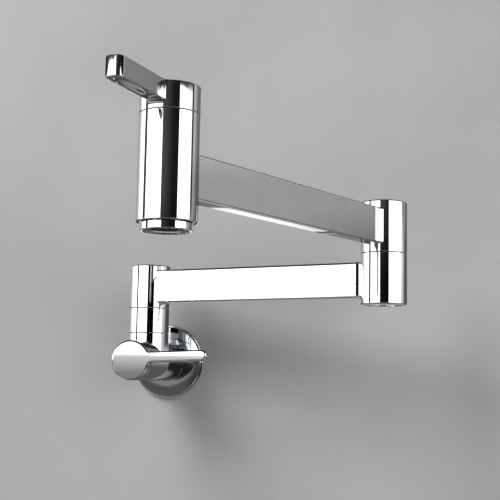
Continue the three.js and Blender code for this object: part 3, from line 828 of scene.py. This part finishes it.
elbow_at = over(elbow_axis)
plug_low = level("elbow_bottom_plug", 0)
plug_high = level("elbow_bottom_plug", 1)
plug_radius = lid_recess - CLEAR
plug_flat = plug_radius - lid_edge
plug_profile = [(plug_flat * share, plug_low + lid_crown * share * share) for share in CROWN_SHARES]
plug_profile += arc(plug_flat, plug_low + lid_crown + lid_edge, lid_edge, -86, 0)
plug_profile += [*arc(plug_radius - lid_foot, plug_high - lid_foot, lid_foot, 0, 90), (0.0, plug_high)]
plug = polish(turned("elbow_bottom_plug_dressed", plug_profile), flat=TURNED_ALONE)
place(plug, "lower_arm", lid_chrome, "polished_chrome", "elbow_bottom_plug", at=elbow_at)
dress(turned_brass, "elbow_spindle", "elbow_retaining_nut")
dress(black_rubber, *[f"elbow_o_ring_{count}" for count in (1, 2, 3, 4)])


# ------------------------------------------------
# Upper arm: made like the lower one, with one sleeve. It leaves the sleeve in a broad polished blend,
# and its other end is brazed into the spout's barrel.
# ------------------------------------------------

spout_axis = Vector(frame["joints"][3]["pos_m"]) / MM
upper_run = (spout_axis - elbow_axis).xy
upper_length = upper_run.length
upper_turn = math.atan2(upper_run.y, upper_run.x)
head_radius = 17.0
arm_entry = 3.5
upper_end = upper_length - head_radius + arm_entry
upper_bottom = elbow_middle + seam
lid_depth = 0.3
upper_top = level("elbow_cap", 1) + lid_depth
upper_level = (upper_bottom + upper_top) / 2
elbow_blend = 5.8
arm_bottom = upper_level - arm_height / 2
arm_top = upper_level + arm_height / 2

outline = bar(elbow_radius, elbow_blend, arm_half, upper_end)
upper_arm = slab("upper_arm_dressed", outline, arm_bottom, arm_top, arm_edge, arm_edge)
upper_sleeve = rod("upper_sleeve", elbow_radius, upper_bottom, upper_top, seam_chamfer, sleeve_edge)
join(upper_arm, upper_sleeve)
inside = sleeve_inside(upper_bottom, upper_top, upper_level, (washer_recess, upper_bottom + washer_roof),
                       (lid_recess, level("elbow_spindle", 1) - stud_height))
cut(upper_arm, inside)
channel = block("channel", (elbow_radius + PAST, arm_wall - arm_half, arm_bottom + arm_wall),
                (upper_end + PAST, arm_half - arm_wall, arm_top - arm_wall))
cut(upper_arm, channel)
port = pipe("port", port_radius, port_start, elbow_radius + 2 * PAST, upper_level)
cut(upper_arm, port)
polish(upper_arm, [(0.0, 0.0, elbow_radius)], flat=12.0)
upper_chrome = chrome("upper_arm_chrome", arm_lines, upper_turn)
upper_at = elbow_at @ Matrix.Rotation(upper_turn, 4, "Z")
place(upper_arm, "upper_arm", upper_chrome, "polished_chrome", "upper_arm", at=upper_at)

elbow_cap = polish(lid("elbow_cap_dressed", "elbow_cap"), flat=TURNED_ALONE)
place(elbow_cap, "upper_arm", lid_chrome, "polished_chrome", "elbow_cap", at=elbow_at)


# ------------------------------------------------
# Spout barrel: a turned and chromed brass barrel that holds the second valve cartridge above and the
# aerator below. The arm's end is brazed into a slot in its side.
# ------------------------------------------------

spout_at = over(spout_axis)
barrel_low = level("spout_body", 0)
barrel_high = level("spout_body", 1)
chamber_depth = 36.0
spout_seat = barrel_high - chamber_depth
neck_hole = 11.8
neck_room = 12.0
barrel_edge = 0.6
braze_line = 0.1
head_port_end = 8.0
head_port_rise = 6.0

barrel = rod("spout_body_dressed", head_radius, barrel_low, barrel_high, barrel_edge, seam_chamfer)
barrel_inside = turned("barrel_inside", [
    (0.0, barrel_low - PAST), (neck_hole, barrel_low - PAST), (neck_hole, barrel_low + neck_room),
    (passage_radius, barrel_low + neck_room), (passage_radius, spout_seat), (chamber_radius, spout_seat),
    (chamber_radius, barrel_high + PAST), (0.0, barrel_high + PAST),
], BORED)
cut(barrel, barrel_inside)
slot_half = arm_half + braze_line
slot_floor = head_radius - arm_entry - CLEAR
slot_mouth = 3 * head_radius
slot_low = arm_bottom - braze_line
slot_high = arm_top + braze_line
slot_outline = [(-slot_mouth, -slot_half), (-slot_floor, -slot_half), (-slot_floor, slot_half),
                (-slot_mouth, slot_half)]
cut(barrel, slab("arm_slot", slot_outline, slot_low, slot_high, arm_edge, arm_edge))
head_port = pipe("port", port_radius, -head_radius, -head_port_end, upper_level + head_port_rise)
cut(barrel, head_port)
polish(barrel, [(0.0, 0.0, head_radius)], flat=TURNED_ALONE)
head_at = spout_at @ Matrix.Rotation(upper_turn, 4, "Z")
place(barrel, "upper_arm", column_chrome, "polished_chrome", "spout_body", at=head_at)


# ------------------------------------------------
# Spout handle: a chromed brass cap with a square lever, over the spout's valve. The lever has a thumb
# scoop on its underside, and a grub screw at the back holds the cap on the stem.
# ------------------------------------------------

cap_low = barrel_high + seam
cap_high = level("spout_handle", 1)
cap_round = 0.8
screw_centre = (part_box("spout_set_screw")[0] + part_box("spout_set_screw")[1]) / 2 / MM
away = spout_axis.xy - screw_centre.xy
lever_turn = math.atan2(away.y, away.x)
spout_reach = 63.9
spout_half = 5.1
spout_height = 11.0
spout_blend = 2.0
spout_edge = 0.6
spout_corner = 3.9
gusset_radius = 3.0
scoop_from_tip = 18.9
scoop_half_length = 15.8
scoop_depth = 2.4
scoop_half_width = 4.5
cap_stem_top = level("spout_stem", 1) + CLEAR

near, angle = leave(head_radius, spout_half, spout_blend)
side = [(head_radius * ROOTED, (near * (head_radius / (head_radius + spout_blend))).y)]
side += arc(near.x, near.y, spout_blend, angle, -90, 8)
tip = [*arc(spout_reach - spout_corner, spout_corner - spout_half, spout_corner, -90, 0, 16),
       *arc(spout_reach - spout_corner, spout_half - spout_corner, spout_corner, 0, 90, 16)]
outline = [(x, -y) for x, y in side] + tip + side[::-1]
spout_handle = rod("spout_handle_dressed", head_radius, cap_low, cap_high, seam_chamfer, cap_round)
lever = slab("lever", outline, cap_high - spout_height, cap_high, spout_edge, spout_edge)
lever_floor = cap_high - spout_height
gusset = turned("gusset", [
    (head_radius - PAST, lever_floor - gusset_radius),
    *arc(head_radius + gusset_radius, lever_floor - gusset_radius, gusset_radius, 180, 90, 16),
    (head_radius + gusset_radius, lever_floor + PAST), (head_radius - PAST, lever_floor + PAST),
])
width = block("width", (0, -spout_half + spout_edge, lever_floor - 2 * gusset_radius),
              (2 * head_radius, spout_half - spout_edge, cap_high))
join(lever, combine(gusset, width, "INTERSECT"))
join(spout_handle, lever)
ball = turned("scoop", arc(0.0, 0.0, 1.0, -90, 90, 24), BORED)
stretch = Matrix.Diagonal((scoop_half_length, scoop_half_width, scoop_depth, 1.0))
scoop = moved(ball, shift(spout_reach - scoop_from_tip, 0, lever_floor) @ stretch)
cut(spout_handle, scoop)
stem_hole = rod("stem_hole", stem_radius + CLEAR, cap_low - PAST, cap_stem_top, facets=STEM)
cut(spout_handle, stem_hole)
side_hole = pipe("side_hole", screw_hole, -head_radius - PAST, 0.0, screw_centre.z)
cut(spout_handle, side_hole)
polish(spout_handle, [(0.0, 0.0, head_radius)], flat=20.0)
lever_chrome = chrome("spout_handle_chrome", (4.0, 1.0, 1.0), lever_turn)
lever_at = spout_at @ Matrix.Rotation(lever_turn, 4, "Z")
place(spout_handle, "spout_lever", lever_chrome, "polished_chrome", "spout_handle", at=lever_at)


# ------------------------------------------------
# Aerator: a chromed ring screwed into the barrel, with a dark plastic insert of fine rings and ribs that
# mixes air into the water. A rubber washer seals it.
# ------------------------------------------------

rim = level("aerator_housing", 0)
neck_top = level("aerator_housing", 1)
aerator_seam = 0.4
shoulder = barrel_low - aerator_seam
collar_radius = 14.6
neck_radius = 11.5
neck_bore = 9.9
mouth_radius = 12.36
mouth_foot = 0.2
mouth_edge = 0.3
mouth_depth = 0.6
collar_edge = 0.5
shoulder_edge = 0.2
inner_lip = 1.5
insert_low = level("aerator_insert", 0)
insert_high = level("aerator_insert", 1)
housing = turned("aerator_housing_dressed", [
    (mouth_radius, rim + mouth_foot),
    *arc(mouth_radius + mouth_edge, rim + mouth_edge, mouth_edge, 200, 270, 4),
    *arc(collar_radius - collar_edge, rim + collar_edge, collar_edge, -90, 0, 8),
    (collar_radius, shoulder - shoulder_edge), (collar_radius - shoulder_edge, shoulder),
    (neck_radius, shoulder), (neck_radius, neck_top), (neck_bore - inner_lip, neck_top),
    (neck_bore - inner_lip, insert_high + CLEAR), (neck_bore, insert_high + CLEAR),
    (neck_bore, insert_low), (mouth_radius, insert_low - mouth_depth),
])
polish(housing, [(0.0, 0.0, collar_radius)], flat=TURNED_ALONE)
place(housing, "upper_arm", column_chrome, "polished_chrome", "aerator_housing", at=spout_at)


def dark_plastic(name):
    """Dark moulded acetal, slightly glossy where it is wet."""
    made, wire = material(name)
    spot = wire.spot()
    cloud = noise(wire, spot, 500.0, 4.0)
    tint = mixed(wire, cloud, (0.018, 0.019, 0.021), (0.05, 0.051, 0.054))
    surface(wire, {"Base Color": tint, "Roughness": 0.28 + 0.25 * cloud, "Coat Weight": 0.2 + 0.2 * cloud})
    return made


insert_radius = neck_bore - CLEAR
ring_wall = 0.7
ring_pitch = 2.1
ring_end = insert_low + 0.3
outer_wall = 1.0
web_level = insert_low + 2.4
rib_half = 0.25
rib_start = 1.5
rib_low = insert_low + 0.8
rib_sink = 0.5
RIBS = 12
insert_profile = [(0.0, insert_high), (insert_radius, insert_high), (insert_radius, insert_low)]
radius = insert_radius - outer_wall
insert_profile.append((radius, insert_low))
while radius > ring_pitch:
    outside = radius - ring_pitch + ring_wall
    insert_profile += [(radius, web_level), (outside, web_level), (outside, ring_end)]
    radius -= ring_pitch
    insert_profile.append((radius, ring_end))
insert_profile += [(radius, web_level), (0.0, web_level)]
insert = turned("aerator_insert_dressed", insert_profile, BORED)
for k in range(RIBS):
    rib = block("rib", (rib_start, -rib_half, rib_low),
                (insert_radius - rib_sink, rib_half, web_level + rib_sink))
    join(insert, moved(rib, Matrix.Rotation(2 * math.pi * k / RIBS, 4, "Z")))
polish(insert, flat=TURNED_ALONE)
place(insert, "upper_arm", dark_plastic("aerator_plastic"), "black_plastic", "aerator_insert", at=spout_at)
dress(black_rubber, "aerator_washer")


# ------------------------------------------------
# Studio: a pale wall that the tap hangs on, running down through a cove into a pale floor. Its back lets
# the view through, and the metal doesn't mirror it. What the metal mirrors are glowing sheets left and
# right and the room around them, which is dark in the middle.
# ------------------------------------------------

WALL_GAP = 0.0002
wall_half = 1.3
wall_top = 1.1
floor_level = -0.45
cove = 0.25
floor_front = -1.6
COVE_STEPS = 16

section = [(WALL_GAP, wall_top)]
for k in range(COVE_STEPS + 1):
    angle = math.pi / 2 * k / COVE_STEPS
    section.append((WALL_GAP - cove + cove * math.cos(angle), floor_level + cove - cove * math.sin(angle)))
section.append((floor_front, floor_level))
shape = bmesh.new()
rows = [[shape.verts.new((x, y, z)) for x in (-wall_half, wall_half)] for y, z in section]
for first, second in zip(rows, rows[1:]):
    shape.faces.new((first[0], first[1], second[1], second[0]))
backdrop = in_scene("backdrop", shape)
data = backdrop.data
for face in data.polygons:
    face.use_smooth = True
if data.polygons[0].normal.y > 0:
    data.flip_normals()
backdrop.visible_glossy = False

made, wire = material("pale_plaster")
spot = wire.spot()
cloud = noise(wire, spot, 5.0, 6.0)
tint = mixed(wire, cloud.ramp(0.3, 0.7), (0.405, 0.405, 0.40), (0.455, 0.455, 0.45))
plaster = wire.node("ShaderNodeBsdfPrincipled", {}, {"Base Color": tint, "Roughness": 0.9})
clear = wire.node("ShaderNodeBsdfTransparent")
behind = wire.node("ShaderNodeNewGeometry", out="Backfacing")
both = wire.node("ShaderNodeMixShader", {}, {0: behind, 1: plaster, 2: clear})
wire.node("ShaderNodeOutputMaterial", {}, {"Surface": both})
data.materials.append(made)

SHEET_STEPS = 12
sheet_glow = 3.2
sheet_low = 0.017
sheet_rise = math.radians(15.0)


def sheet(name, plan):
    """A glowing upright sheet along points (x, y) in metres. Its top looks equally high from the spout,
    and only the metal's mirror shows it."""
    made, wire = material(name)
    shine = wire.node("ShaderNodeEmission", {}, {"Strength": sheet_glow})
    wire.node("ShaderNodeOutputMaterial", {}, {"Surface": shine})
    shape = bmesh.new()
    posts = []
    for (x, y), (next_x, next_y) in zip(plan, plan[1:]):
        for k in range(SHEET_STEPS + 1):
            share = k / SHEET_STEPS
            foot = Vector((x + (next_x - x) * share, y + (next_y - y) * share))
            far = (foot - spout_axis.xy * MM).length
            top = cap_high * MM + far * math.tan(sheet_rise)
            posts.append([shape.verts.new((*foot, sheet_low)), shape.verts.new((*foot, top))])
    for first, second in zip(posts, posts[1:]):
        shape.faces.new((first[0], second[0], second[1], first[1]))
    glowing = in_scene(name, shape)
    glowing.data.materials.append(made)
    glowing.visible_camera = False
    glowing.visible_shadow = False
    glowing.visible_diffuse = False


sheet("front_left_sheet", [(0.09, -0.80), (-0.37, -0.775), (-0.82, -0.75)])
sheet("far_left_sheet", [(-0.77, -0.505), (-1.22, -0.15), (-1.74, 0.02)])
sheet("right_sheet", [(0.55, -0.62), (1.2, -0.26), (2.0, 0.15)])

world = bpy.data.worlds.new("studio")
bpy.context.scene.world = world
world.use_nodes = True
world.node_tree.nodes.clear()
wire = Wire(world.node_tree)
direction = wire.node("ShaderNodeTexCoord", out="Generated")
x = wire.node("ShaderNodeSeparateXYZ", {}, {0: direction}, 0)
y = wire.node("ShaderNodeSeparateXYZ", {}, {0: direction}, 1)
z = wire.node("ShaderNodeSeparateXYZ", {}, {0: direction}, 2)
around = x.math("ARCTAN2", x, 0.0 - y) * (180 / math.pi)
height = z.math("ARCSINE", z) * (180 / math.pi)

# The bearing is 0 straight out from the wall and grows to the right, and both are in degrees.
# Near the wall the light depends on the height: a dark gap shows high up, and a soft fade low down.
high = height.ramp(6.5, 9.5)
capped = 1 - height.ramp(15.2, 15.8)
left_fade = 0.5 * capped + 1.2 * around.ramp(-126.0, -92.0) * capped
wall_left = 1 - around.ramp(-92.0, -88.0)
low_fade = 0.14 + 1.6 * (1 - around.ramp(96.0, 138.0))
low_fade = low_fade * (0.55 + 0.45 * height.ramp(1.0, 7.0))
wall_strip = 0.22 + 0.5 * (1 - around.ramp(124.0, 152.0))
wall_strip = wall_strip * (0.72 + 0.28 * height.ramp(10.5, 12.5)) * (1 - 0.6 * height.ramp(35.0, 55.0))
gap = around.ramp(111.0, 113.0) * (1 - around.ramp(120.0, 122.0))
high_fade = 2.0 * (1 - around.ramp(111.0, 113.0)) * capped
high_fade = high_fade + wall_strip * around.ramp(120.0, 122.0) + 0.03 * gap
right_fade = low_fade * (1 - high) + high_fade * high
wall_right = around.ramp(86.0, 90.0)
room = (0.10 - 0.085 * around.ramp(-5.0, 42.0)) * (0.1 + 0.9 * height.ramp(5.0, 11.0))
front = (1 - wall_left) * (1 - wall_right)
upper = left_fade * wall_left + right_fade * wall_right + room * front

# Below the sheets lies a counter: bright where the light grazes it, dark nearer, and pale right below.
# A bright card stands low at the front left, and a dark corner at the wall, which the aerator mirrors.
beside = 1 - around.ramp(-12.0, -2.0) + around.ramp(38.0, 48.0)
graze = 0.6 * height.ramp(-0.2, 1.0) * beside
near_wall = around.ramp(140.0, 160.0) + 1 - around.ramp(-160.0, -140.0)
card = around.ramp(-62.0, -56.0) * (1 - around.ramp(-42.0, -36.0))
card = card * height.ramp(-13.0, -11.0) * (1 - height.ramp(-6.0, -4.0))
under = 0.45 * (1 - height.ramp(-34.0, -21.0)) * height.ramp(-55.0, -45.0)
lower = 0.03 + 0.09 * height.ramp(-68.0, -58.0) + 0.2 * height.ramp(-9.0, -2.5)
lower = lower * (0.25 + 0.75 * beside) + graze + 2.0 * card + under
lower = lower + 0.1 * near_wall * height.ramp(-14.0, -8.0)
corner = around.ramp(-161.4, -160.8) * (1 - around.ramp(-150.0, -144.0))
corner = corner * height.ramp(-13.0, -10.5) * (1 - height.ramp(-6.0, -4.5))
lower = lower * (1 - 0.85 * corner)
above = height.ramp(1.0, 1.6)
light = upper * above + lower * (1 - above)
seen = wire.node("ShaderNodeLightPath", out="Is Camera Ray")
strength = light * (1 - seen) + 0.80 * seen
glow = wire.node("ShaderNodeBackground", {}, {"Color": (1.0, 1.0, 1.0, 1.0), "Strength": strength})
wire.node("ShaderNodeOutputWorld", {}, {"Surface": glow})


def lamp(name, place, aim, wide, watts):
    """A soft square lamp that the metal doesn't mirror."""
    light = bpy.data.lights.new(name, "AREA")
    light.size = wide
    light.energy = watts
    made = bpy.data.objects.new(name, light)
    made.location = place
    made.rotation_euler = (Vector(aim) - Vector(place)).to_track_quat("-Z", "Y").to_euler()
    made.visible_glossy = False
    made.visible_camera = False
    bpy.context.scene.collection.objects.link(made)


lamp("key", (-1.0, -1.5, 1.6), (0.1, -0.1, 0.0), 1.2, 52.0)
lamp("fill", (1.4, -1.6, 0.6), (0.1, -0.1, 0.0), 1.4, 17.0)


# ------------------------------------------------
# Camera: low and to the right of the tap, looking up a little, as in the photograph.
# ------------------------------------------------

eye = Vector((317.1, -861.7, -9.26)) * MM
yaw, pitch, roll = (math.radians(a) for a in (-15.89, 6.80, 1.03))
focal_pixels = 1040.45
picture = 500.0
sensor = 36.0
ahead = Vector((math.sin(yaw) * math.cos(pitch), math.cos(yaw) * math.cos(pitch), math.sin(pitch)))
right = Vector((math.cos(yaw), -math.sin(yaw), 0.0))
up = right.cross(ahead)
right, up = (math.cos(roll) * right + math.sin(roll) * up, math.cos(roll) * up - math.sin(roll) * right)
camera = bpy.data.objects.new("camera", bpy.data.cameras.new("camera"))
camera.data.sensor_width = sensor
camera.data.lens = focal_pixels / picture * sensor
camera.data.clip_start = 0.01
camera.matrix_world = Matrix((
    (right.x, up.x, -ahead.x, eye.x),
    (right.y, up.y, -ahead.y, eye.y),
    (right.z, up.z, -ahead.z, eye.z),
    (0.0, 0.0, 0.0, 1.0),
))
bpy.context.scene.collection.objects.link(camera)
bpy.context.scene.camera = camera
